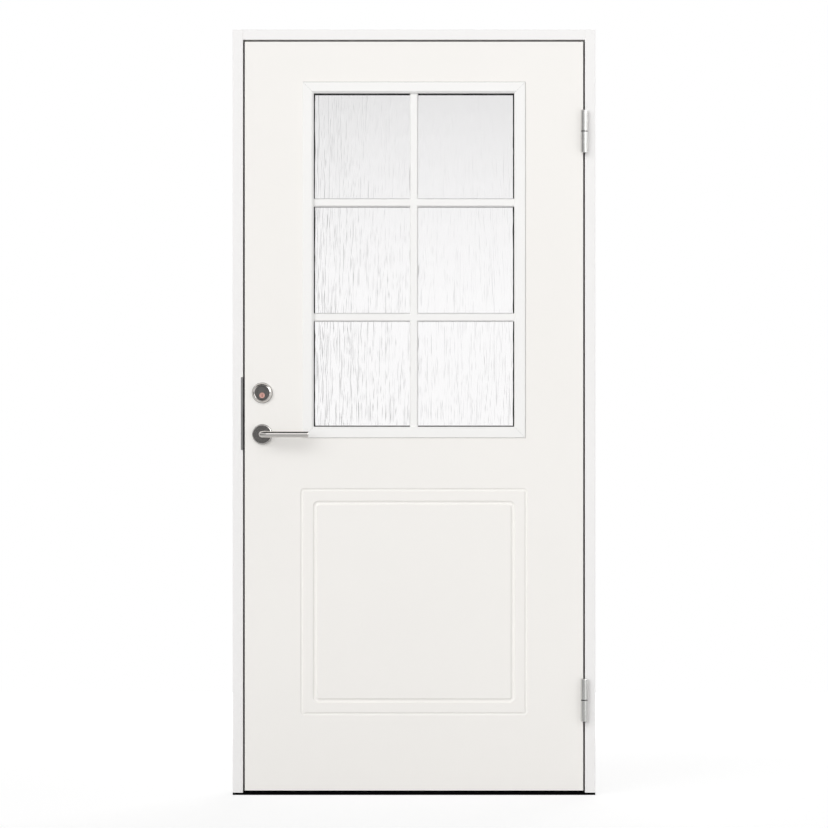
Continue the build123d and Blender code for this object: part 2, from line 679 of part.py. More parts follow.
# Lever handles on one spindle through the lock
for face_name, (face_y, outward) in FACES.items():
    rose_top_y = face_y + outward * ROSE_HEIGHT
    neck_y = face_y + outward * LEVER_CLEARANCE
    bar_y = face_y + outward * LEVER_STAND_OFF

    with BuildPart() as rose:
        lock_hole(SPINDLE_Z, ROSE_RADIUS, min(face_y, rose_top_y), ROSE_HEIGHT, Mode.ADD)
        fillet(rose.edges().group_by(Axis.Y)[0 if outward < 0 else -1], ROSE_ROUND)
        neck_hole_radius = LEVER_RADIUS + LEVER_CLEARANCE
        lock_hole(SPINDLE_Z, neck_hole_radius, min(face_y, rose_top_y), ROSE_HEIGHT)
    rose.part.label = f"{face_name}_rose"
    export_step(rose.part, f"parts/{face_name}_rose.step")

    with BuildPart() as lever:
        with BuildLine():
            FilletPolyline(
                (lock_x, neck_y, SPINDLE_Z),
                (lock_x, bar_y, SPINDLE_Z),
                (lock_x + LEVER_REACH, bar_y, SPINDLE_Z),
                radius=LEVER_BEND,
            )
        with BuildSketch(upright(neck_y)):
            with Locations((lock_x, SPINDLE_Z)):
                Circle(LEVER_RADIUS)
        sweep()
        fillet(lever.edges().group_by(Axis.X)[-1], LEVER_END_ROUND)
        with BuildSketch(upright(neck_y)):
            with Locations((lock_x, SPINDLE_Z)):
                socket_side = SPINDLE_SIDE + 2 * SPINDLE_CLEARANCE
                Rectangle(socket_side, socket_side)
        extrude(amount=-outward * SPINDLE_SOCKET, mode=Mode.SUBTRACT)
    lever.part.label = f"{face_name}_lever"
    export_step(lever.part, f"parts/{face_name}_lever.step")

with BuildPart() as lever_spindle:
    spindle_reach = SPINDLE_SOCKET + LEVER_CLEARANCE - SPINDLE_CLEARANCE
    with BuildSketch(upright(front_y - spindle_reach)):
        with Locations((lock_x, SPINDLE_Z)):
            Rectangle(SPINDLE_SIDE, SPINDLE_SIDE)
    extrude(amount=-(LEAF_THICKNESS + 2 * spindle_reach))
lever_spindle.part.label = "lever_spindle"
export_step(lever_spindle.part, "parts/lever_spindle.step")
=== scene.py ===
"""The exterior door's looks: finishes, streaked glass, small fittings, light, floor and camera."""

from __future__ import annotations

import json
import logging
import math
from dataclasses import dataclass
from enum import Enum
from typing import Callable, Dict, List, Sequence, Tuple, Union

import bpy
from mathutils import Matrix, Vector

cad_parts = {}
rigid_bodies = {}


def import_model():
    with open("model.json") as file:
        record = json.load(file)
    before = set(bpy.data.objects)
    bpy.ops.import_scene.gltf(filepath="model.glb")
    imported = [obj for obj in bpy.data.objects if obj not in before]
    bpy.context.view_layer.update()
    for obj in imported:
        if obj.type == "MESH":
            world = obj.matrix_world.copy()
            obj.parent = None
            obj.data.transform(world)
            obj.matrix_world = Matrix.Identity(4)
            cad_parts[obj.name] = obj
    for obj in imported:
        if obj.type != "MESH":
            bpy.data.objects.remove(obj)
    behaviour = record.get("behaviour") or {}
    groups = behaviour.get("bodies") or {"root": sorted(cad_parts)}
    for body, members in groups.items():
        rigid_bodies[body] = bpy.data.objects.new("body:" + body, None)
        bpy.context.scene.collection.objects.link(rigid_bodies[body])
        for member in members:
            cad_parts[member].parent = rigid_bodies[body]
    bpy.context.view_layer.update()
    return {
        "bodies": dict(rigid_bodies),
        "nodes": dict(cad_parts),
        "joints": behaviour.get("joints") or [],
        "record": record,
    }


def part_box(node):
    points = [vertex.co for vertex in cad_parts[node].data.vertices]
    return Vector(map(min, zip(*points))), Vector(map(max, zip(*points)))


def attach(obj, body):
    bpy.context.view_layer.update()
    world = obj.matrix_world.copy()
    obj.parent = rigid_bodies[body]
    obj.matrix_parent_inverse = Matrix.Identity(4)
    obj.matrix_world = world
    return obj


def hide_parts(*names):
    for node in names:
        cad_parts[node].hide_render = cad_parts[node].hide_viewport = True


LOG = logging.getLogger("exterior_door")
MM = 0.001
HALF = 0.5
WHITE = (1.0, 1.0, 1.0, 1.0)
# The leaf's two faces, and which way each looks along the depth.
FACES = (("outer", -1.0), ("inner", 1.0))

Colour = Tuple[float, float, float]
Point = Tuple[float, float, float]
Profile = Tuple[Tuple[float, float], ...]
Piece = bpy.types.Object
Socket = bpy.types.NodeSocket


class Body(Enum):
    """The bodies that pieces ride on."""

    FRAME = "frame"
    LEAF = "leaf"
    HANDLE = "handle"
    KEY_PLUG = "key_plug"


class Slot(Enum):
    """The record's material slots."""

    LEAF_PAINT = "leaf_paint"
    STILE_PAINT = "stile_paint"
    INSULATION = "insulation"
    FRAME_PAINT = "frame_paint"
    THRESHOLD_BLACK = "threshold_black"
    SEAL_RUBBER = "seal_rubber"
    GLAZING_WHITE = "glazing_white"
    GASKET_BLACK = "gasket_black"
    SPACER_BLACK = "spacer_black"
    PATTERNED_GLASS = "patterned_glass"
    CLEAR_GLASS = "clear_glass"
    HANDLE_STEEL = "handle_steel"
    PLAIN_STEEL = "plain_steel"
    HINGE_STEEL = "hinge_steel"
    CYLINDER_NICKEL = "cylinder_nickel"
    PLUG_BRASS = "plug_brass"


class Axis(Enum):
    """The way a drum's length runs, as the turn that brings it there from upright."""

    Y = (math.pi / 2, 0.0, 0.0)
    Z = (0.0, 0.0, 0.0)


class Num:
    """A number in a node tree; arithmetic on it adds Math nodes."""

    def __init__(self, book: "NodeBook", socket: Socket) -> None:
        """Wrap an output socket of a book's tree."""
        self.book = book
        self.socket = socket

    def _math(self, operation: str, first: "Entry", second: "Entry", clamp: bool = False) -> "Num":
        """Add one Math node.

        Args:
            operation: The Math node's operation.
            first: The left operand.
            second: The right operand.
            clamp: Whether the result is kept from 0 to 1.

        Returns:
            The result.
        """
        settings = {"operation": operation, "use_clamp": clamp}
        node = self.book.add("ShaderNodeMath", settings, {0: first, 1: second})
        return Num(self.book, node.outputs[0])

    def __add__(self, other: "Entry") -> "Num":
        """Sum."""
        return self._math("ADD", self, other)

    def __radd__(self, other: "Entry") -> "Num":
        """Sum, number first."""
        return self._math("ADD", other, self)

    def __sub__(self, other: "Entry") -> "Num":
        """Difference."""
        return self._math("SUBTRACT", self, other)

    def __rsub__(self, other: "Entry") -> "Num":
        """Difference, number first."""
        return self._math("SUBTRACT", other, self)

    def __mul__(self, other: "Entry") -> "Num":
        """Product."""
        return self._math("MULTIPLY", self, other)

    def __truediv__(self, other: "Entry") -> "Num":
        """Quotient."""
        return self._math("DIVIDE", self, other)

    def kept(self) -> "Num":
        """The number kept from 0 to 1."""
        return self._math("ADD", self, 0.0, clamp=True)

    def sine(self) -> "Num":
        """The number's sine, as an angle."""
        return self._math("SINE", self, 0.0)

    def top(self, other: "Entry") -> "Num":
        """The larger of two numbers."""
        return self._math("MAXIMUM", self, other)

    def about(self, base: float, spread: float) -> "Num":
        """A base value, swung by how far the number is from a half."""
        return base + (self - HALF) * spread


Entry = Union[Num, Socket, float, Sequence[float]]


class NodeBook:
    """One node tree, and the single way that nodes are added to it."""

    MIX_FACTOR = 0
    MIX_A = 6
    MIX_B = 7
    MIX_RESULT = 2

    def __init__(self, tree: bpy.types.NodeTree) -> None:
        """Take a tree and empty it."""
        self.tree = tree
        tree.nodes.clear()

    def add(
        self, kind: str, settings: Dict[str, object], sockets: Dict[Union[str, int], Entry]
    ) -> bpy.types.Node:
        """Add a node.

        Args:
            kind: The node's type.
            settings: Its own settings; "stops" are a colour ramp's places and colours.
            sockets: Values or links for its inputs, by name or number.

        Returns:
            The node.
        """
        node = self.tree.nodes.new(kind)
        for name, value in settings.items():
            if name == "stops":
                self.set_stops(node.color_ramp, value)
            else:
                setattr(node, name, value)
        for key, value in sockets.items():
            source = value.socket if isinstance(value, Num) else value
            if isinstance(source, Socket):
                self.tree.links.new(source, node.inputs[key])
            else:
                node.inputs[key].default_value = source
        return node

    @staticmethod
    def set_stops(ramp: bpy.types.ColorRamp, stops: Profile) -> None:
        """Give a ramp its places and grey levels, from low to high."""
        while len(ramp.elements) < len(stops):
            ramp.elements.new(1.0)
        for element, (place, level) in zip(ramp.elements, stops):
            element.position = place
            element.color = (level, level, level, 1.0)

    def place(self, scale: Point = (1.0, 1.0, 1.0)) -> Socket:
        """The point on the piece, in metres, stretched by a scale."""
        coordinates = self.add("ShaderNodeTexCoord", {}, {})
        sockets = {"Vector": coordinates.outputs["Object"], "Scale": scale}
        return self.add("ShaderNodeMapping", {}, sockets).outputs[0]

    def noise(self, place: Socket, scale: float, detail: float, roughness: float = 0.5) -> Num:
        """Cloudy noise from 0 to 1."""
        sockets = {"Vector": place, "Scale": scale, "Detail": detail, "Roughness": roughness}
        return Num(self, self.add("ShaderNodeTexNoise", {}, sockets).outputs[0])

    def blend(self, factor: Entry, first: Colour, second: Colour) -> Socket:
        """A colour between two colours."""
        sockets = {self.MIX_FACTOR: factor, self.MIX_A: (*first, 1.0), self.MIX_B: (*second, 1.0)}
        return self.add("ShaderNodeMix", {"data_type": "RGBA"}, sockets).outputs[self.MIX_RESULT]

    def vary(self, factor: Num, colour: Colour, spread: float) -> Socket:
        """A colour that goes from darker to lighter by a spread, as a factor does from 0 to 1."""
        return self.blend(factor, lighter(colour, -spread), lighter(colour, spread))

    def bump(self, height: Entry, distance: float) -> Socket:
        """A surface normal from a height."""
        sockets = {"Height": height, "Distance": distance, "Strength": 1.0}
        return self.add("ShaderNodeBump", {}, sockets).outputs[0]

    def rays(self) -> List[Num]:
        """Whether a ray comes from the eye, off a mirror or through glass."""
        path = self.add("ShaderNodeLightPath", {}, {})
        kinds = ("Is Camera Ray", "Is Glossy Ray", "Is Transmission Ray")
        return [Num(self, path.outputs[kind]) for kind in kinds]

    def axes(self, place: Socket) -> List[Num]:
        """A place's or a direction's parts across, in depth and upwards."""
        split = self.add("ShaderNodeSeparateXYZ", {}, {0: place})
        return [Num(self, output) for output in split.outputs]

    def surface(self, tone: Entry, gloss: Entry, normal: Socket, more: Dict[str, float]) -> None:
        """End the tree in one surface, from its colour, roughness, normal and what else it has."""
        sockets = {"Base Color": tone, "Roughness": gloss, "Normal": normal, **more}
        shader = self.add("ShaderNodeBsdfPrincipled", {}, sockets)
        self.add("ShaderNodeOutputMaterial", {}, {"Surface": shader.outputs[0]})


def lighter(colour: Colour, share: float) -> Colour:
    """A colour with each channel raised or lowered by a share."""
    return tuple(channel * (1.0 + share) for channel in colour)


class Octaves:
    """How much fine detail a noise carries."""

    SMOOTH = 1.0
    SOFT = 2.0
    FINE = 3.0
    RICH = 4.0


@dataclass(frozen=True)
class Paint:
    """Sprayed paint: a fine peel, a slow drift of tone and a satin gloss."""

    colour: Colour
    roughness: float
    peel_size: float = 1.6 * MM
    peel_depth: float = 0.05 * MM
    drift_size: float = 0.35
    drift: float = 0.012
    gloss_drift: float = 0.08
    specular: float = 0.4

    def dress(self, book: NodeBook) -> None:
        """Write the finish's nodes."""
        place = book.place()
        peel = book.noise(place, 1.0 / self.peel_size, Octaves.SOFT)
        drift = book.noise(place, 1.0 / self.drift_size, Octaves.FINE)
        tone = book.vary(drift, self.colour, self.drift)
        gloss = drift.about(self.roughness, self.gloss_drift)
        normal = book.bump(peel, self.peel_depth)
        book.surface(tone, gloss, normal, {"Specular IOR Level": self.specular})


@dataclass(frozen=True)
class MouldedPlastic:
    """Moulded white plastic: a very fine grain and a soft sheen."""

    colour: Colour
    roughness: float
    grain_size: float = 0.5 * MM
    grain_depth: float = 0.015 * MM
    flow_size: float = 0.12
    flow: float = 0.008
    gloss_spread: float = 0.1

    def dress(self, book: NodeBook) -> None:
        """Write the finish's nodes."""
        place = book.place()
        grain = book.noise(place, 1.0 / self.grain_size, Octaves.SMOOTH)
        flow = book.noise(place, 1.0 / self.flow_size, Octaves.SOFT)
        tone = book.vary(flow, self.colour, self.flow)
        gloss = grain.about(self.roughness, self.gloss_spread)
        book.surface(tone, gloss, book.bump(grain, self.grain_depth), {})


@dataclass(frozen=True)
class BrushedMetal:
    """Metal brushed one way: fine lines that turn gloss and tone."""

    colour: Colour
    roughness: float
    lines: Point
    line_depth: float = 0.0005 * MM
    line_gloss: float = 0.12
    line_tone: float = 0.1
    line_roughness: float = 0.65

    def dress(self, book: NodeBook) -> None:
        """Write the finish's nodes."""
        lines = book.noise(book.place(self.lines), 1.0, Octaves.RICH, self.line_roughness)
        tone = book.vary(lines, self.colour, self.line_tone)
        gloss = lines.about(self.roughness, self.line_gloss)
        normal = book.bump(lines, self.line_depth)
        book.surface(tone, gloss, normal, {"Metallic": 1.0})


@dataclass(frozen=True)
class PlatedMetal:
    """Plated metal: a cloudy coat with small spangles."""

    colour: Colour
    roughness: float
    spangle_size: float = 2.2 * MM
    spangle_depth: float = 0.004 * MM
    spangle_share: float = 0.4
    cloud_size: float = 14.0 * MM
    cloud_share: float = 0.6
    spread: float = 0.12
    gloss_spread: float = 0.14

    def dress(self, book: NodeBook) -> None:
        """Write the finish's nodes."""
        place = book.place()
        spangle = book.noise(place, 1.0 / self.spangle_size, Octaves.FINE)
        cloud = book.noise(place, 1.0 / self.cloud_size, Octaves.SOFT)
        mixed = spangle * self.spangle_share + cloud * self.cloud_share
        tone = book.vary(mixed, self.colour, self.spread)
        gloss = spangle.about(self.roughness, self.gloss_spread)
        normal = book.bump(spangle, self.spangle_depth)
        book.surface(tone, gloss, normal, {"Metallic": 1.0})


@dataclass(frozen=True)
class Rubber:
    """Extruded rubber: matt, with dusty specks and drawn lines along it."""

    colour: Colour
    bloom: Colour
    roughness: float = 0.75
    lines: Point = (900.0, 900.0, 14.0)
    line_depth: float = 0.03 * MM
    speck_scale: float = 260.0
    speck_roughness: float = 0.7
    speck_start: float = 0.35
    gloss_spread: float = 0.2

    def dress(self, book: NodeBook) -> None:
        """Write the finish's nodes."""
        drawn = book.noise(book.place(self.lines), 1.0, Octaves.SOFT)
        specks = book.noise(book.place(), self.speck_scale, Octaves.RICH, self.speck_roughness)
        tone = book.blend((specks - self.speck_start).kept(), self.colour, self.bloom)
        gloss = specks.about(self.roughness, self.gloss_spread)
        book.surface(tone, gloss, book.bump(drawn, self.line_depth), {})


@dataclass(frozen=True)
class Glass:
    """Clear glass with a faint draw in its surface."""

    tint: Colour
    roughness: float = 0.0
    index: float = 1.45
    wave_size: float = 60.0 * MM
    wave_depth: float = 0.01 * MM

    def dress(self, book: NodeBook) -> None:
        """Write the finish's nodes."""
        wave = book.noise(book.place(), 1.0 / self.wave_size, Octaves.SMOOTH)
        normal = book.bump(wave, self.wave_depth)
        more = {"IOR": self.index, "Transmission Weight": 1.0}
        book.surface((*self.tint, 1.0), self.roughness, normal, more)


@dataclass(frozen=True)
class Foam:
    """Cut insulation foam: open cells in a pale body."""

    colour: Colour
    roughness: float = 0.9
    cell_size: float = 0.8 * MM
    cell_depth: float = 0.2 * MM
    hollow_tone: float = -0.2
    wall_tone: float = 0.1

    def dress(self, book: NodeBook) -> None:
        """Write the finish's nodes."""
        cells = book.noise(book.place(), 1.0 / self.cell_size, Octaves.SOFT)
        hollow = lighter(self.colour, self.hollow_tone)
        tone = book.blend(cells, hollow, lighter(self.colour, self.wall_tone))
        book.surface(tone, self.roughness, book.bump(cells, self.cell_depth), {})


Finish = Union[Paint, MouldedPlastic, BrushedMetal, PlatedMetal, Rubber, Glass, Foam]

FINISHES: Dict[Slot, Finish] = {
    Slot.LEAF_PAINT: Paint((0.895, 0.875, 0.845), 0.42),
    Slot.STILE_PAINT: Paint((0.885, 0.87, 0.845), 0.48),
    Slot.INSULATION: Foam((0.8, 0.76, 0.66)),
    Slot.FRAME_PAINT: Paint((0.88, 0.87, 0.862), 0.42),
    Slot.THRESHOLD_BLACK: BrushedMetal((0.003, 0.003, 0.0032), 0.42, (3.0, 700.0, 700.0)),
    Slot.SEAL_RUBBER: Rubber((0.02, 0.02, 0.021), (0.045, 0.045, 0.045)),
    Slot.GLAZING_WHITE: MouldedPlastic((0.905, 0.898, 0.885), 0.34),
    Slot.GASKET_BLACK: Rubber((0.006, 0.006, 0.006), (0.016, 0.016, 0.016)),
    Slot.SPACER_BLACK: Rubber((0.005, 0.005, 0.005), (0.012, 0.012, 0.012), 0.6),
    Slot.PATTERNED_GLASS: Glass((0.99, 0.987, 0.99)),
    Slot.CLEAR_GLASS: Glass((0.99, 0.987, 0.988)),
    Slot.HANDLE_STEEL: BrushedMetal((0.64, 0.62, 0.6), 0.11, (40.0, 1500.0, 1500.0)),
    Slot.PLAIN_STEEL: PlatedMetal((0.34, 0.34, 0.34), 0.3),
    Slot.HINGE_STEEL: PlatedMetal((0.66, 0.66, 0.645), 0.22),
    Slot.CYLINDER_NICKEL: PlatedMetal((0.17, 0.165, 0.16), 0.3),
    Slot.PLUG_BRASS: PlatedMetal((0.66, 0.38, 0.33), 0.45),
}


class PaintShop:
    """Makes each finish once and lays it on solids and pieces."""

    def __init__(self) -> None:
        """Start with no finish made."""
        self.made: Dict[Slot, bpy.types.Material] = {}

    def material(self, slot: Slot) -> bpy.types.Material:
        """The material for a slot, made when it is first asked for."""
        if slot not in self.made:
            material = bpy.data.materials.new(slot.value)
            material.use_nodes = True
            FINISHES[slot].dress(NodeBook(material.node_tree))
            self.made[slot] = material
        return self.made[slot]

    def coat(self, piece: Piece, slot: Slot) -> None:
        """Lay a slot's finish all over one piece."""
        piece.data.materials.clear()
        piece.data.materials.append(self.material(slot))

    def coat_solids(self, frame: Dict[str, object]) -> None:
        """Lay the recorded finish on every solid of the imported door."""
        for row in frame["record"]["subparts"]:
            self.coat(frame["nodes"][row["node"]], Slot(row["material_slot"]))

    def deliver(self, piece: Piece, body: Body, slot: Slot) -> None:
        """Coat a new piece, set it riding and report it.

        Args:
            piece: The finished piece.
            body: What it moves with.
            slot: Its finish.
        """
        self.coat(piece, slot)
        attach(piece, body.value)
        LOG.info("%s rides on %s, %d faces", piece.name, body.value, len(piece.data.polygons))


class Bench:
    """Hand tools: primitives, selections, modifiers and copies."""

    BEVEL_STEPS = 2
    MERGE_DISTANCE = 0.002 * MM
    RING_SIDES = 64
    SMOOTH_ANGLE = 30.0

    @staticmethod
    def clear() -> None:
        """Leave edit mode and let go of everything."""
        active = bpy.context.view_layer.objects.active
        if active is not None and active.mode != "OBJECT":
            bpy.ops.object.mode_set(mode="OBJECT")
        bpy.ops.object.select_all(action="DESELECT")

    @staticmethod
    def hold(piece: Piece) -> None:
        """Take one piece alone in hand."""
        Bench.clear()
        piece.select_set(True)
        bpy.context.view_layer.objects.active = piece

    @staticmethod
    def settle(piece: Piece) -> Piece:
        """Move a piece's place, turn and scale into its mesh."""
        Bench.hold(piece)
        bpy.ops.object.transform_apply(location=True, rotation=True, scale=True)
        return piece

    @staticmethod
    def block(name: str, low: Sequence[float], high: Sequence[float]) -> Piece:
        """A block between two corners."""
        Bench.clear()
        middle = (Vector(low) + Vector(high)) / 2
        bpy.ops.mesh.primitive_cube_add(size=1.0, location=middle)
        piece = bpy.context.object
        piece.name = name
        piece.scale = Vector(high) - Vector(low)
        return Bench.settle(piece)

    @staticmethod
    def drum(
        name: str, centre: Sequence[float], radius: float, length: float, axis: Axis, sides: int
    ) -> Piece:
        """A round drum about an axis."""
        Bench.clear()
        bpy.ops.mesh.primitive_cylinder_add(
            vertices=sides, radius=radius, depth=length, location=centre, rotation=axis.value
        )
        piece = bpy.context.object
        piece.name = name
        return Bench.settle(piece)

    @staticmethod
    def pick_faces(piece: Piece, wanted: Callable[[bpy.types.MeshPolygon], bool]) -> None:
        """Enter edit mode with only the wanted faces selected."""
        Bench._start_picking(piece, "FACE")
        for face in piece.data.polygons:
            face.select = wanted(face)
        bpy.ops.object.mode_set(mode="EDIT")

    @staticmethod
    def pick_edges(piece: Piece, wanted: Callable[[Vector, Vector], bool]) -> None:
        """Enter edit mode with only the wanted edges selected."""
        Bench._start_picking(piece, "EDGE")
        points = piece.data.vertices
        for edge in piece.data.edges:
            first, second = edge.vertices
            edge.select = wanted(points[first].co, points[second].co)
        bpy.ops.object.mode_set(mode="EDIT")

    @staticmethod
    def round_edges(piece: Piece, wanted: Callable[[Vector, Vector], bool], width: float) -> None:
        """Bevel the wanted edges of a piece."""
        Bench.pick_edges(piece, wanted)
        bpy.ops.mesh.bevel(offset=width, segments=Bench.BEVEL_STEPS)
        Bench.clear()

    @staticmethod
    def _start_picking(piece: Piece, kind: str) -> None:
        """Set the selection's kind and empty it."""
        Bench.hold(piece)
        bpy.ops.object.mode_set(mode="EDIT")
        bpy.ops.mesh.select_mode(type=kind)
        bpy.ops.mesh.select_all(action="DESELECT")
        bpy.ops.object.mode_set(mode="OBJECT")

    @staticmethod
    def extrude(move: Sequence[float]) -> None:
        """Extrude what is selected by a move."""
        bpy.ops.mesh.extrude_region_move(TRANSFORM_OT_translate={"value": tuple(move)})

    @staticmethod
    def face_outwards(piece: Piece) -> None:
        """Merge doubles and turn every face outwards."""
        Bench.hold(piece)
        bpy.ops.object.mode_set(mode="EDIT")
        bpy.ops.mesh.select_all(action="SELECT")
        bpy.ops.mesh.remove_doubles(threshold=Bench.MERGE_DISTANCE)
        bpy.ops.mesh.normals_make_consistent(inside=False)
        bpy.ops.object.mode_set(mode="OBJECT")

    @staticmethod
    def modify(piece: Piece, kind: str, settings: Dict[str, object]) -> None:
        """Add a modifier and apply it."""
        Bench.hold(piece)
        modifier = piece.modifiers.new(kind.title(), kind)
        for name, value in settings.items():
            setattr(modifier, name, value)
        bpy.ops.object.modifier_apply(modifier=modifier.name)

    @staticmethod
    def carve(piece: Piece, cutter: Piece) -> None:
        """Cut one shape out of another and drop the cutter."""
        Bench.modify(piece, "BOOLEAN", {"object": cutter, "operation": "DIFFERENCE", "solver": "EXACT"})
        bpy.data.objects.remove(cutter)

    @staticmethod
    def copies(master: Piece, name: str, places: Sequence[Matrix]) -> Piece:
        """Set copies of a master piece at each place, join them and drop the master.

        Args:
            master: The piece that repeats, at the origin.
            name: The joined piece's name.
            places: Where each copy goes.

        Returns:
            The joined piece.
        """
        twins: List[Piece] = []
        for place in places:
            Bench.hold(master)
            bpy.ops.object.duplicate(linked=False)
            twin = bpy.context.object
            twin.matrix_world = place
            twins.append(Bench.settle(twin))
        bpy.data.objects.remove(master)
        return Bench.join(twins, name)

    @staticmethod
    def join(pieces: Sequence[Piece], name: str) -> Piece:
        """Join pieces into one."""
        Bench.hold(pieces[0])
        for piece in pieces[1:]:
            piece.select_set(True)
        bpy.ops.object.join()
        joined = bpy.context.object
        joined.name = name
        return joined

    @staticmethod
    def smooth(piece: Piece, degrees: float = SMOOTH_ANGLE) -> None:
        """Shade smooth wherever faces meet at less than an angle."""
        Bench.hold(piece)
        bpy.ops.object.shade_smooth_by_angle(angle=math.radians(degrees))

    @staticmethod
    def ring(
        name: str, centre: Sequence[float], outer: float, inner: float, length: float, axis: Axis
    ) -> Piece:
        """A flat ring: a drum whose two caps are inset and bridged."""
        piece = Bench.drum(name, centre, outer, length, axis, Bench.RING_SIDES)
        widest = max(face.area for face in piece.data.polygons)
        Bench.pick_faces(piece, lambda face: face.area > widest / 2)
        bpy.ops.mesh.inset(thickness=outer - inner, depth=0.0, use_individual=True)
        bpy.ops.mesh.bridge_edge_loops()
        Bench.face_outwards(piece)
        return piece


@dataclass(frozen=True)
class Streaks:
    """One set of streaks, with the share of their depth at places off a streak's middle."""

    name: str
    width: float
    length: float
    depth: float
    profile: Profile


@dataclass
class StreakedPane:
    """The outer pane of patterned glass, with its streaks in relief."""

    columns: int = 880
    rows: int = 100
    sets: Tuple[Streaks, ...] = (
        Streaks("scratches", 5.2 * MM, 60.0 * MM, 0.54 * MM, ((0.0, 1.0), (0.11, 0.08), (0.3, 0.0))),
        Streaks("waves", 5.0 * MM, 42.0 * MM, 0.08 * MM, ((0.0, 1.0), (0.6, 0.0))),
    )
    fade_right: float = 0.34
    fade_up: float = 0.45
    smooth_angle: float = 70.0

    def build(self, shop: PaintShop) -> None:
        """Model the pane and let it stand for the plain one."""
        low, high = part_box("outer_pane")
        middle = (low + high) / 2
        Bench.clear()
        bpy.ops.mesh.primitive_grid_add(
            x_subdivisions=self.columns,
            y_subdivisions=self.rows,
            size=1.0,
            location=(middle.x, low.y, middle.z),
            rotation=Axis.Y.value,
        )
        pane = bpy.context.object
        pane.name = "streaked_pane"
        pane.scale = (high.x - low.x, high.z - low.z, 1.0)
        Bench.settle(pane)
        relief = self._weigh(pane, low, high)
        Bench.pick_faces(pane, lambda face: True)
        bpy.ops.mesh.region_to_loop()
        Bench.extrude((0.0, high.y - low.y, 0.0))
        bpy.ops.object.vertex_group_remove_from()
        bpy.ops.mesh.edge_face_add()
        Bench.face_outwards(pane)
        for streaks in self.sets:
            self._press(pane, relief, streaks)
        Bench.smooth(pane, self.smooth_angle)
        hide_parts("outer_pane")
        shop.deliver(pane, Body.LEAF, Slot.PATTERNED_GLASS)

    def _weigh(self, pane: Piece, low: Vector, high: Vector) -> str:
        """Give each point its share of the relief, most at the lower left.

        Args:
            pane: The pane's outer face.
            low: Its lowest corner.
            high: Its highest corner.

        Returns:
            The name of the group of points.
        """
        relief = pane.vertex_groups.new(name="relief")
        for point in pane.data.vertices:
            right = (point.co.x - low.x) / (high.x - low.x)
            rise = (point.co.z - low.z) / (high.z - low.z)
            relief.add([point.index], 1.0 - self.fade_right * right - self.fade_up * rise, "REPLACE")
        return relief.name

    @staticmethod
    def _press(pane: Piece, relief: str, streaks: Streaks) -> None:
        """Press one set of streaks into the outer face.

        Args:
            pane: The pane.
            relief: The group of points on its outer face.
            streaks: The set.
        """
        texture = bpy.data.textures.new(streaks.name, "CLOUDS")
        texture.noise_type = "HARD_NOISE"
        texture.noise_basis = "ORIGINAL_PERLIN"
        texture.noise_scale = 1.0
        texture.noise_depth = 0
        texture.use_color_ramp = True
        NodeBook.set_stops(texture.color_ramp, streaks.profile)
        Bench.clear()
        bpy.ops.object.empty_add(location=(0.0, 0.0, 0.0))
        ruler = bpy.context.object
        ruler.scale = (streaks.width, 1.0, streaks.length)
        bpy.context.view_layer.update()
        settings = {
            "texture": texture,
            "texture_coords": "OBJECT",
            "texture_coords_object": ruler,
            "direction": "Y",
            "mid_level": 0.0,
            "strength": streaks.depth,
            "vertex_group": relief,
        }
        Bench.modify(pane, "DISPLACE", settings)
        bpy.data.objects.remove(ruler)


@dataclass
class MitreLines:
    """The fine joints across the corners of the two glazing frames."""

    line_width: float = 0.2 * MM
    line_depth: float = 0.3 * MM
    edge_chamfer: float = 1.5 * MM
    bevel_width: float = 5.5 * MM
    bevel_depth: float = 4.0 * MM
    face_width: float = 30.0 * MM

    def build(self, shop: PaintShop) -> None:
        """Model the joints on both faces of the leaf."""
        for face, outward in FACES:
            low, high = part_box(f"{face}_glazing_frame")
            level = low.y if outward < 0 else high.y
            middle = (low + high) / 2
            corners = [Vector((x, level, z)) for x in (low.x, high.x) for z in (low.z, high.z)]
            strips = [self._strip(corner, middle, outward) for corner in corners]
            lines = Bench.join(strips, f"{face}_mitre_lines")
            Bench.face_outwards(lines)
            shop.deliver(lines, Body.LEAF, Slot.SEAL_RUBBER)

    def _strip(self, corner: Vector, middle: Vector, outward: float) -> Piece:
        """One joint, from the frame's outside corner in and down the bevel.

        Args:
            corner: The outside corner of the frame's face.
            middle: The window's middle.
            outward: Which way the face looks.

        Returns:
            The strip.
        """
        way = middle - corner
        inward = Vector((math.copysign(1.0, way.x), 0.0, math.copysign(1.0, way.z)))
        start = corner + inward * self.edge_chamfer
        bend = corner + inward * (self.face_width - self.bevel_width)
        drop = inward * self.bevel_width - Vector((0.0, outward * self.bevel_depth, 0.0))
        along = bend - start
        across = Vector((-inward.z, 0.0, inward.x)).normalized() * self.line_width
        Bench.clear()
        bpy.ops.mesh.primitive_plane_add(size=1.0)
        strip = bpy.context.object
        turn = Matrix.Identity(4)
        turn.col[0].xyz = along
        turn.col[1].xyz = across
        turn.col[2].xyz = along.cross(across).normalized()
        turn.col[3].xyz = (start + bend) / 2
        strip.matrix_world = turn
        Bench.settle(strip)
        near = self.line_width * 2
        Bench.pick_edges(strip, lambda a, b: (a - bend).length < near and (b - bend).length < near)
        Bench.extrude(drop)
        Bench.modify(strip, "SOLIDIFY", {"thickness": self.line_depth, "offset": 0.0})
        return strip


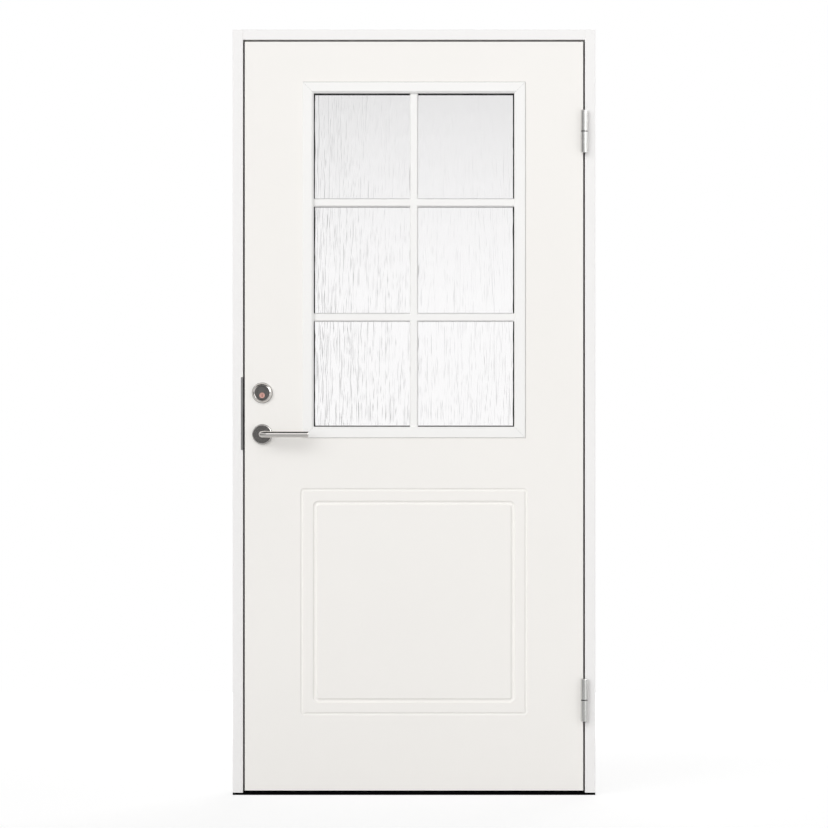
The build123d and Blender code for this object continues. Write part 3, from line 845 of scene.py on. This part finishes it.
@dataclass
class ScrewHead:
    """A countersunk screw head with a cross recess, seen from its own +Z."""

    sides: int = 28
    radius: float = 3.6 * MM
    height: float = 1.4 * MM
    proud: float = 0.15 * MM
    edge: float = 0.3 * MM
    slot_width: float = 0.9 * MM
    slot_reach: float = 2.2 * MM
    slot_depth: float = 0.9 * MM

    def build(self) -> Piece:
        """Model one head at the origin, its face just above the level plane."""
        centre = (0.0, 0.0, self.proud - self.height / 2)
        head = Bench.drum("screw_head", centre, self.radius, self.height, Axis.Z, self.sides)
        top = self.proud - self.edge / 2
        Bench.round_edges(head, lambda a, b: min(a.z, b.z) > top, self.edge)
        floor = self.proud - self.slot_depth
        long, short = self.slot_reach, self.slot_width / 2
        for reach_x, reach_y in ((long, short), (short, long)):
            corner = Vector((reach_x, reach_y, self.height))
            cutter = Bench.block("recess", (-corner.x, -corner.y, floor), corner)
            Bench.carve(head, cutter)
        Bench.smooth(head)
        return head


def facing(place: Sequence[float], outward: Sequence[float]) -> Matrix:
    """The place of a copy whose own +Z looks outward."""
    turn = Vector(outward).to_track_quat("Z", "Y").to_matrix().to_4x4()
    return Matrix.Translation(Vector(place)) @ turn


@dataclass
class Screws:
    """The screws of the hinges, the forend and the strike plate."""

    wing_inset: float = 9.0 * MM
    wing_pitch: float = 17.0 * MM
    wing_staggers: Tuple[float, ...] = (0.0, 13.0 * MM, 0.0)
    forend_end: float = 11.0 * MM
    strike_levels: Tuple[float, ...] = (0.958, 1.037, 1.124)

    def build(self, shop: PaintShop) -> None:
        """Model each set and set it riding."""
        self._hinge_screws(shop, "leaf", Body.LEAF, 1.0)
        self._hinge_screws(shop, "frame", Body.FRAME, -1.0)
        low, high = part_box("lock_forend")
        middle = (low + high) / 2
        lean = self._forend_lean(high.y - low.y)
        slope = Vector((low.y - high.y, lean, 0.0))
        levels = (low.z + self.forend_end, high.z - self.forend_end)
        places = [facing((low.x + lean / 2, middle.y, z), slope) for z in levels]
        self._drive(shop, "forend_screws", places, Body.LEAF, Slot.PLAIN_STEEL)
        _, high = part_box("strike_plate")
        places = [facing((high.x, middle.y, z), (1.0, 0.0, 0.0)) for z in self.strike_levels]
        self._drive(shop, "strike_screws", places, Body.FRAME, Slot.PLAIN_STEEL)

    @staticmethod
    def _drive(shop: PaintShop, name: str, places: Sequence[Matrix], body: Body, slot: Slot) -> None:
        """Set one screw at each place, as one piece."""
        shop.deliver(Bench.copies(ScrewHead().build(), name, places), body, slot)

    @staticmethod
    def _forend_lean(width: float) -> float:
        """How far the bevelled lock edge leans over the forend's width."""
        outer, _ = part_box("outer_skin")
        inner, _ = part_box("inner_skin")
        return (inner.x - outer.x) / (inner.y - outer.y) * width

    def _hinge_screws(self, shop: PaintShop, half: str, body: Body, side: float) -> None:
        """Three screws in each hinge wing of one half.

        Args:
            shop: Where the screws get their finish.
            half: Which half of the hinges.
            body: What that half moves with.
            side: Which way the wing's face looks, across.
        """
        places: List[Matrix] = []
        for hinge in ("lower", "upper"):
            low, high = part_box(f"{hinge}_hinge_{half}_half")
            end = high.z - self.wing_inset if side > 0 else low.z + self.wing_inset
            for count, stagger in enumerate(self.wing_staggers):
                level = end - side * count * self.wing_pitch
                spot = (self._wing_face(side), high.y - stagger - self.wing_inset, level)
                places.append(facing(spot, (side, 0.0, 0.0)))
        self._drive(shop, f"hinge_{half}_screws", places, body, Slot.HINGE_STEEL)

    @staticmethod
    def _wing_face(side: float) -> float:
        """Where the face of a wing lies: level with the leaf's edge or with the jamb's."""
        _, leaf_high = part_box("outer_skin")
        jamb_low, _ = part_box("head_jamb")
        return leaf_high.x if side > 0 else -jamb_low.x


@dataclass
class HingeWashers:
    """The dark washers between the halves of the hinges."""

    inset: float = 0.4 * MM
    bore: float = 6.7 * MM
    clearance: float = 0.15 * MM

    def build(self, shop: PaintShop) -> None:
        """Model a washer in each hinge."""
        washers: List[Piece] = []
        for hinge in ("lower", "upper"):
            leaf_low, leaf_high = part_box(f"{hinge}_hinge_leaf_half")
            frame_low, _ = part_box(f"{hinge}_hinge_frame_half")
            middle_x = (leaf_low.x + leaf_high.x) / 2
            radius = leaf_high.x - middle_x
            bottom = frame_low.z + (leaf_high.z - leaf_low.z)
            centre = (middle_x, leaf_low.y + radius, (bottom + leaf_low.z) / 2)
            thickness = leaf_low.z - bottom - 2 * self.clearance
            washers.append(Bench.ring("washer", centre, radius - self.inset, self.bore, thickness, Axis.Z))
        joined = Bench.join(washers, "hinge_washers")
        Bench.smooth(joined)
        shop.deliver(joined, Body.FRAME, Slot.GASKET_BLACK)


@dataclass
class KeyRing:
    """The turned ring round the key cylinder: a rounded bevel, a lip and a dished face."""

    foot: float = 2.0 * MM
    profile_mm: Profile = (
        (27.2, 3.5), (26.5, 6.0), (25.2, 8.5), (23.5, 10.5), (21.9, 11.7), (21.2, 12.0),
        (20.6, 11.7), (20.1, 10.8), (19.8, 9.0), (19.4, 4.6), (18.9, 4.1), (18.4, 4.0),
    )
    sides: int = 96
    front_share: float = 0.9
    smooth_angle: float = 35.0
    clearance: float = 0.4 * MM
    # Size and place of the dark disc of painted shade on the dish floor.
    shade_disc_radius: float = 19.1 * MM
    shade_disc_level: float = 4.2 * MM
    shade_disc_thickness: float = 0.6 * MM

    def build(self, shop: PaintShop) -> None:
        """Turn the ring, cut the cylinder's oval, lay a dark disc of painted shade on the dish floor and let
        the ring stand for the plain one.
        """
        low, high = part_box("cylinder_ring")
        middle = (low + high) / 2
        radius = (high.x - low.x) / 2
        centre = Vector((middle.x, high.y - self.foot / 2, middle.z))
        ring = Bench.drum("key_ring", centre, radius, self.foot, Axis.Y, self.sides)
        Bench.pick_faces(ring, lambda face: face.normal.y < -self.front_share)
        level = self.foot
        for wider, height in self.profile_mm:
            Bench.extrude((0.0, level - height * MM, 0.0))
            share = wider * MM / radius
            bpy.ops.transform.resize(value=(share, 1.0, share), center_override=middle)
            radius = wider * MM
            level = height * MM
        Bench.face_outwards(ring)
        Bench.carve(ring, self._oval())
        Bench.smooth(ring, self.smooth_angle)
        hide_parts("cylinder_ring")
        shop.deliver(ring, Body.LEAF, Slot.HANDLE_STEEL)
        # A dark disc laid on the dish floor: painted shade in the ring's recessed dish.
        centre.y = high.y - self.shade_disc_level
        shade_disc = Bench.drum("dish_liner", centre, self.shade_disc_radius, self.shade_disc_thickness, Axis.Y, self.sides)
        Bench.carve(shade_disc, self._oval())
        shop.deliver(shade_disc, Body.LEAF, Slot.CYLINDER_NICKEL)

    def _oval(self) -> Piece:
        """The cylinder's outline as a cutter, long enough to pass through the ring."""
        low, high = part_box("lock_cylinder")
        middle = (low + high) / 2
        half_width = (high.x - low.x) / 2
        spread = (high.z - low.z) / 2 - half_width
        length = (high.y - low.y) * 2
        oval = Bench.drum("oval", middle, half_width + self.clearance, length, Axis.Y, self.sides)
        for side in (-1.0, 1.0):
            limit = side * middle.z + MM / 2
            Bench.pick_edges(oval, lambda a, b: min(side * a.z, side * b.z) > limit)
            bpy.ops.transform.translate(value=(0.0, 0.0, side * spread))
        Bench.clear()
        return oval


@dataclass
class LeverFittings:
    """The grub screws under the lever necks, and thin dark rings of painted contact shadow round the feet of
    the roses.
    """

    grub_radius: float = 2.3 * MM
    grub_length: float = 1.2 * MM
    grub_edge: float = 0.25 * MM
    grub_sides: int = 24
    socket_radius: float = 1.3 * MM
    socket_sides: int = 6
    grub_stand_off: float = 17.5 * MM
    # Width and height of the dark rings that paint the contact shadow round each rose's foot.
    shadow_ring_width: float = 0.6 * MM
    shadow_ring_height: float = 0.5 * MM

    def build(self, shop: PaintShop) -> None:
        """Model the grub screws and the rings of painted shadow."""
        shop.deliver(self._grub_screws(), Body.HANDLE, Slot.PLAIN_STEEL)
        # Thin dark rings round the roses' feet, standing in for the contact shadow there.
        shadow_rings = [self._seat(rose, -1.0) for rose in ("outer_rose", "cylinder_ring")]
        shadow_rings += [self._seat(rose, 1.0) for rose in ("inner_rose", "thumb_turn_rose")]
        shop.deliver(Bench.join(shadow_rings, "rose_seats"), Body.LEAF, Slot.GASKET_BLACK)

    def _grub_screws(self) -> Piece:
        """One socket screw under each neck."""
        length = self.grub_length
        screw = Bench.drum("grub", (0.0, 0.0, 0.0), self.grub_radius, length, Axis.Z, self.grub_sides)
        top = length / 4
        Bench.round_edges(screw, lambda a, b: min(a.z, b.z) > top, self.grub_edge)
        end = (0.0, 0.0, length / 2)
        Bench.carve(screw, Bench.drum("socket", end, self.socket_radius, length, Axis.Z, self.socket_sides))
        Bench.smooth(screw)
        low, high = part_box("outer_rose")
        middle = (low + high) / 2
        lever_low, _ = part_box("outer_lever")
        inner_low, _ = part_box("inner_rose")
        spots = (high.y - self.grub_stand_off, inner_low.y + self.grub_stand_off)
        places = [facing((middle.x, y, lever_low.z), (0.0, 0.0, -1.0)) for y in spots]
        return Bench.copies(screw, "lever_grub_screws", places)

    def _seat(self, rose: str, outward: float) -> Piece:
        """A thin dark ring round the foot of one rose: painted contact shadow where the rose meets the leaf.
        """
        low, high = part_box(rose)
        middle = (low + high) / 2
        foot = high.y if outward < 0 else low.y
        radius = (high.x - low.x) / 2
        centre = (middle.x, foot + outward * self.shadow_ring_height / 2, middle.z)
        return Bench.ring(f"{rose}_seat", centre, radius + self.shadow_ring_width, radius, self.shadow_ring_height, Axis.Y)


@dataclass
class GlazingSealsAndShadows:
    """Thin dark lines round the glazing frames and along the bars: sealing lines, widened on the right of
    each frame as painted shadow, and a strip of painted shadow on the glass right of the upright bar.
    """

    # Widths of the frame's line on each side: the right one is widened as painted shadow, the left one kept
    # thin where light falls.
    left: float = 0.06 * MM
    right: float = 0.45 * MM
    bottom: float = 0.25 * MM
    top: float = 0.8 * MM
    bar_top: float = 1.1 * MM
    # Width of the painted shadow on the glass right of the upright bar.
    bar_shadow_width: float = 0.2 * MM
    proud: float = 0.2 * MM
    sunk: float = 0.1 * MM

    def build(self, shop: PaintShop) -> None:
        """Model the lines on both faces of the leaf."""
        lines: List[Piece] = []
        for face, outward in FACES:
            lines.append(self._frame_line(face, outward))
            lines += self._bar_lines(bpy.data.objects[f"{face}_glazing_bars"], outward)
        shop.deliver(Bench.join(lines, "glazing_seals"), Body.LEAF, Slot.SEAL_RUBBER)

    def _frame_line(self, face: str, outward: float) -> Piece:
        """The line round one glazing frame, on the leaf's face: a sealing line whose wider right side is
        painted shadow.
        """
        low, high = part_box(f"{face}_glazing_frame")
        skin_low, skin_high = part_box(f"{face}_skin")
        level = skin_low.y if outward < 0 else skin_high.y
        near, far = sorted((level - outward * self.sunk, level + outward * self.proud))
        corner_a = (low.x - self.left, near, low.z - self.bottom)
        corner_b = (high.x + self.right, far, high.z + self.top)
        line = Bench.block("seal_line", corner_a, corner_b)
        opening = Bench.block("opening", (low.x, near - MM, low.z), (high.x, far + MM, high.z))
        Bench.carve(line, opening)
        return line

    def _bar_lines(self, bars: Piece, outward: float) -> List[Piece]:
        """The lines on the glass: seal lines along the tops of the level bars, and painted shadow along the
        right of the upright one.

        Args:
            bars: The solid of the bars.
            outward: Which way the leaf's face looks.

        Returns:
            The lines.
        """
        low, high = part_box(bars.name)
        glass = high.y if outward < 0 else low.y
        near, far = sorted((glass, glass + outward * self.proud))
        points = [point.co for point in bars.data.vertices]
        ends = [point.z for point in points if point.x < low.x + self.sunk]
        feet = [point.x for point in points if point.z < low.z + self.sunk]
        middle = (low.z + high.z) / 2
        tops = [max(z for z in ends if z < middle), max(ends)]
        lines = [Bench.block("bar_line", (low.x, near, z), (high.x, far, z + self.bar_top)) for z in tops]
        # A dark strip on the glass right of the upright bar: painted shadow of the bar.
        side = max(feet)
        lines.append(Bench.block("bar_line", (side, near, low.z), (side + self.bar_shadow_width, far, high.z)))
        return lines


@dataclass
class TreadRibs:
    """The ribs along the threshold strip."""

    count: int = 8
    width: float = 2.4 * MM
    height: float = 0.5 * MM
    pitch: float = 7.4 * MM
    front_margin: float = 6.0 * MM
    end_margin: float = 2.0 * MM
    crown: float = 0.3 * MM

    def build(self, shop: PaintShop) -> None:
        """Model one rib and array it across the strip."""
        low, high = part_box("threshold_strip")
        _, head_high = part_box("head_jamb")
        start_y = low.y + self.front_margin
        end_x = head_high.x - self.end_margin
        corner = (end_x, start_y + self.width, high.z + self.height)
        rib = Bench.block("tread_ribs", (-end_x, start_y, high.z), corner)
        top = high.z + self.height / 2
        Bench.round_edges(rib, lambda a, b: min(a.z, b.z) > top and abs(a.x - b.x) > end_x, self.crown)
        settings = {
            "count": self.count,
            "use_relative_offset": False,
            "use_constant_offset": True,
            "constant_offset_displace": (0.0, self.pitch, 0.0),
        }
        Bench.modify(rib, "ARRAY", settings)
        shop.deliver(rib, Body.FRAME, Slot.THRESHOLD_BLACK)


@dataclass
class FixingSleeves:
    """The steel sleeves round the frame's fixing holes, on the stops."""

    outer: float = 7.5 * MM
    inner: float = 5.4 * MM
    thickness: float = 0.8 * MM
    depth_y: float = 33.5 * MM
    levels: Tuple[float, ...] = (0.18, 0.78, 1.28, 1.88)

    def build(self, shop: PaintShop) -> None:
        """Model one sleeve and set it at every hole."""
        stop_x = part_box("lock_jamb")[1].x
        reach = -stop_x - self.thickness / 2
        places = [
            facing((side * reach, self.depth_y, level), (-side, 0.0, 0.0))
            for side in (-1.0, 1.0)
            for level in self.levels
        ]
        sleeve = Bench.ring("sleeve", (0.0, 0.0, 0.0), self.outer, self.inner, self.thickness, Axis.Z)
        Bench.smooth(sleeve)
        shop.deliver(Bench.copies(sleeve, "fixing_sleeves", places), Body.FRAME, Slot.PLAIN_STEEL)


@dataclass
class KeyWards:
    """The two wards that narrow the keyway."""

    width: float = 0.7 * MM
    height: float = 1.5 * MM
    set_back: float = 0.8 * MM
    length: float = 9.0 * MM
    keyway_width: float = 2.2 * MM
    rise: float = 1.8 * MM
    edge: float = 0.15 * MM

    def build(self, shop: PaintShop) -> None:
        """Model a ward on each side of the keyway."""
        low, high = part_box("key_plug")
        middle = (low + high) / 2
        wards: List[Piece] = []
        for side in (-1.0, 1.0):
            wall = middle.x + side * self.keyway_width / 2
            level = middle.z + side * self.rise
            near = low.y + self.set_back
            left, right = sorted((wall, wall - side * self.width))
            corner = (right, near + self.length, level + self.height / 2)
            ward = Bench.block("ward", (left, near, level - self.height / 2), corner)
            Bench.modify(ward, "BEVEL", {"width": self.edge, "segments": Bench.BEVEL_STEPS})
            wards.append(ward)
        shop.deliver(Bench.join(wards, "key_wards"), Body.KEY_PLUG, Slot.PLUG_BRASS)


@dataclass(frozen=True)
class Lamp:
    """A light aimed at a point, which neither mirrors nor glass show."""

    name: str
    place: Point
    aim: Point
    power: float

    def _add(self, kind: str) -> bpy.types.Light:
        """Hang a lamp of one kind and give its settings."""
        turn = (Vector(self.aim) - Vector(self.place)).to_track_quat("-Z", "Y").to_euler()
        Bench.clear()
        bpy.ops.object.light_add(type=kind, location=self.place, rotation=turn)
        lamp = bpy.context.object
        lamp.name = self.name
        lamp.visible_glossy = False
        lamp.visible_transmission = False
        lamp.data.energy = self.power
        return lamp.data


@dataclass(frozen=True)
class Panel(Lamp):
    """A soft light panel."""

    size: Tuple[float, float]

    def hang(self) -> None:
        """Hang the panel."""
        lamp = self._add("AREA")
        lamp.shape = "RECTANGLE"
        lamp.size, lamp.size_y = self.size


@dataclass(frozen=True)
class DistantScreen(Lamp):
    """Even, soft light from one side, as from a large distant screen."""

    softness: float

    def hang(self) -> None:
        """Hang the screen."""
        self._add("SUN").angle = math.radians(self.softness)


@dataclass(frozen=True)
class Ramp:
    """A change that begins at one value of a number and is complete a length further on."""

    start: float
    length: float
    share: float = 1.0

    def at(self, number: Num) -> Num:
        """How much of the change there is at a number."""
        return ((number - self.start) / self.length).kept() * self.share


@dataclass(frozen=True)
class MirrorRoom:
    """What polished metal mirrors: a bright band in front, dark overhead, a pale screen on the right."""

    stops: Profile = (
        (0.0, 0.42), (0.375, 0.53), (0.45, 0.37), (0.5, 0.32), (0.55, 0.36),
        (0.57, 1.0), (0.81, 1.0), (0.84, 0.03), (1.0, 0.03),
    )
    strength: float = 1.6
    ahead_width: float = 0.3
    ahead_height: float = 0.13
    ahead_shade: float = 0.76
    left_shade: Ramp = Ramp(-0.3, -0.25, 0.5)
    right_glow: Ramp = Ramp(0.2, 0.1, 1.4)
    right_end: Ramp = Ramp(0.9, 0.07, 1.4)
    over_depth: Ramp = Ramp(-0.08, 0.12, 0.93)
    over_rise: Ramp = Ramp(0.5, 0.12)

    def level(self, book: NodeBook, across: Num, depth: Num, up: Num) -> Num:
        """The brightness mirrored from one direction.

        Args:
            book: The world's nodes.
            across: The direction's share across.
            depth: Its share towards the house.
            up: Its share upwards.

        Returns:
            The level.
        """
        ramp = book.add("ShaderNodeValToRGB", {"stops": self.stops}, {"Fac": up * HALF + HALF})
        base = Num(book, ramp.outputs[0]) * self.strength
        wide = across * across / self.ahead_width**2
        tall = up * up / self.ahead_height**2
        ahead = (1.0 - wide - tall).kept() * self.ahead_shade
        right = self.right_glow.at(across) - self.right_end.at(across)
        over = self.over_depth.at(depth) * self.over_rise.at(up)
        return base * (1.0 - ahead) * (1.0 - self.left_shade.at(across) + right) * (1.0 - over)


@dataclass(frozen=True)
class Yard:
    """What shows through the glass: white ahead, greyer to the sides and upwards."""

    brightness: float = 1.012
    left_shade: Ramp = Ramp(-0.045, -0.07, 0.85)
    right_shade: Ramp = Ramp(0.045, 0.08, 0.7)
    high: Ramp = Ramp(0.028, 0.06)
    high_shade: float = 0.09
    high_curve: float = 0.1
    far: Ramp = Ramp(0.13, 0.06)
    far_relief: float = 0.88
    ripple: float = 0.07
    ripple_pitch: float = 0.15

    def level(self, across: Num, up: Num) -> Num:
        """The brightness seen in one direction, from its shares across and upwards."""
        rise = self.high.at(up)
        high = rise * (rise * self.high_curve + self.high_shade)
        far = self.far.at(across.top(across * -1.0))
        ripple = ((across * (math.tau / self.ripple_pitch)).sine() + 1.0) * self.ripple
        sides = self.left_shade.at(across) + self.right_shade.at(across)
        near = sides * (1.0 - far * self.far_relief)
        return (self.brightness - near - far * ripple) * (1.0 - high)


@dataclass
class Studio:
    """Floor, surroundings, light panels and camera."""

    lights: Tuple[Union[Panel, DistantScreen], ...] = (
        DistantScreen("left_screen", (-2.4, -2.96, 1.2), (0.0, 0.0, 0.0), 1.2, 48.0),
        Panel("sky_panel", (-0.6, -5.0, 4.4), (0.0, 0.0, 1.2), 82.0, (5.0, 3.4)),
        Panel("right_panel", (3.4, -3.4, 0.9), (0.0, 0.0, 0.8), 17.0, (1.4, 2.4)),
        Panel("house_panel", (0.9, 4.4, 3.4), (0.0, 0.0, 1.2), 130.0, (3.0, 2.4)),
    )
    ambient: float = 0.49
    floor_half: float = 3.6
    floor_tone: float = 0.6
    floor_glow: float = 0.45
    floor_white: float = 1.53
    floor_shine: float = 0.12
    floor_through: float = 0.35
    fade_start: float = 1.5
    fade_end: float = 3.0
    view_distance: float = 10.0
    view_width: float = 2.2608
    view_height: float = 1.0403
    face_y: float = -0.0525
    sensor: float = 36.0
    clip_end: float = 100.0

    def build(self) -> None:
        """Set up everything round the door."""
        self._surround()
        self._floor()
        for light in self.lights:
            light.hang()
        self._camera()
        bpy.context.scene.view_settings.view_transform = "Standard"

    def _surround(self) -> None:
        """White to the eye, a dim room with a bright band to metal, a pale yard to glass."""
        world = bpy.data.worlds.new("surround")
        bpy.context.scene.world = world
        world.use_nodes = True
        book = NodeBook(world.node_tree)
        seen, mirrored, passed = book.rays()
        coordinates = book.add("ShaderNodeTexCoord", {}, {})
        across, depth, up = book.axes(coordinates.outputs["Generated"])
        room = MirrorRoom().level(book, across, depth, up)
        yard = Yard().level(across, up)
        dim = mirrored * room + (1.0 - mirrored) * self.ambient
        level = passed * yard + (1.0 - passed) * dim
        strength = seen + (1.0 - seen) * level
        light = book.add("ShaderNodeBackground", {}, {"Color": WHITE, "Strength": strength})
        book.add("ShaderNodeOutputWorld", {}, {"Surface": light.outputs[0]})

    def _floor(self) -> None:
        """A pale floor that stays white to the eye and keeps the door's shadow."""
        Bench.clear()
        bpy.ops.mesh.primitive_plane_add(size=2 * self.floor_half)
        floor = bpy.context.object
        floor.name = "studio_floor"
        material = bpy.data.materials.new("studio_floor")
        material.use_nodes = True
        book = NodeBook(material.node_tree)
        seen, mirrored, passed = book.rays()
        tone = (self.floor_tone, self.floor_tone, self.floor_tone, 1.0)
        matt = book.add("ShaderNodeBsdfDiffuse", {}, {"Color": tone})
        glow = book.add("ShaderNodeEmission", {}, {"Color": WHITE, "Strength": self.floor_white})
        across, depth, _ = book.axes(book.place())
        span = self.fade_end**2 - self.fade_start**2
        far = ((across * across + depth * depth - self.fade_start**2) / span).kept()
        pale = self.floor_glow + far * (1.0 - self.floor_glow)
        factor = (seen * pale).top(passed * self.floor_through).top(mirrored * self.floor_shine)
        mixed = book.add("ShaderNodeMixShader", {}, {0: factor, 1: matt.outputs[0], 2: glow.outputs[0]})
        book.add("ShaderNodeOutputMaterial", {}, {"Surface": mixed.outputs[0]})
        floor.data.materials.append(material)

    def _camera(self) -> None:
        """A long lens straight in front of the door."""
        Bench.clear()
        place = (0.0, self.face_y - self.view_distance, self.view_height)
        bpy.ops.object.camera_add(location=place, rotation=(math.pi / 2, 0.0, 0.0))
        camera = bpy.context.object
        camera.name = "street_view"
        camera.data.sensor_width = self.sensor
        camera.data.lens = self.sensor * self.view_distance / self.view_width
        camera.data.clip_end = self.clip_end
        bpy.context.scene.camera = camera


def main() -> None:
    """Load the door, dress it, and set it in the studio."""
    logging.basicConfig(level=logging.INFO, format="%(name)s: %(message)s")
    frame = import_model()
    shop = PaintShop()
    shop.coat_solids(frame)
    for assembly in (
        StreakedPane(),
        MitreLines(),
        Screws(),
        HingeWashers(),
        KeyRing(),
        LeverFittings(),
        TreadRibs(),
        FixingSleeves(),
        KeyWards(),
        GlazingSealsAndShadows(),
    ):
        LOG.info("building %s", type(assembly).__name__)
        assembly.build(shop)
    Studio().build()
    Bench.clear()


if __name__ == "__main__":
    main()
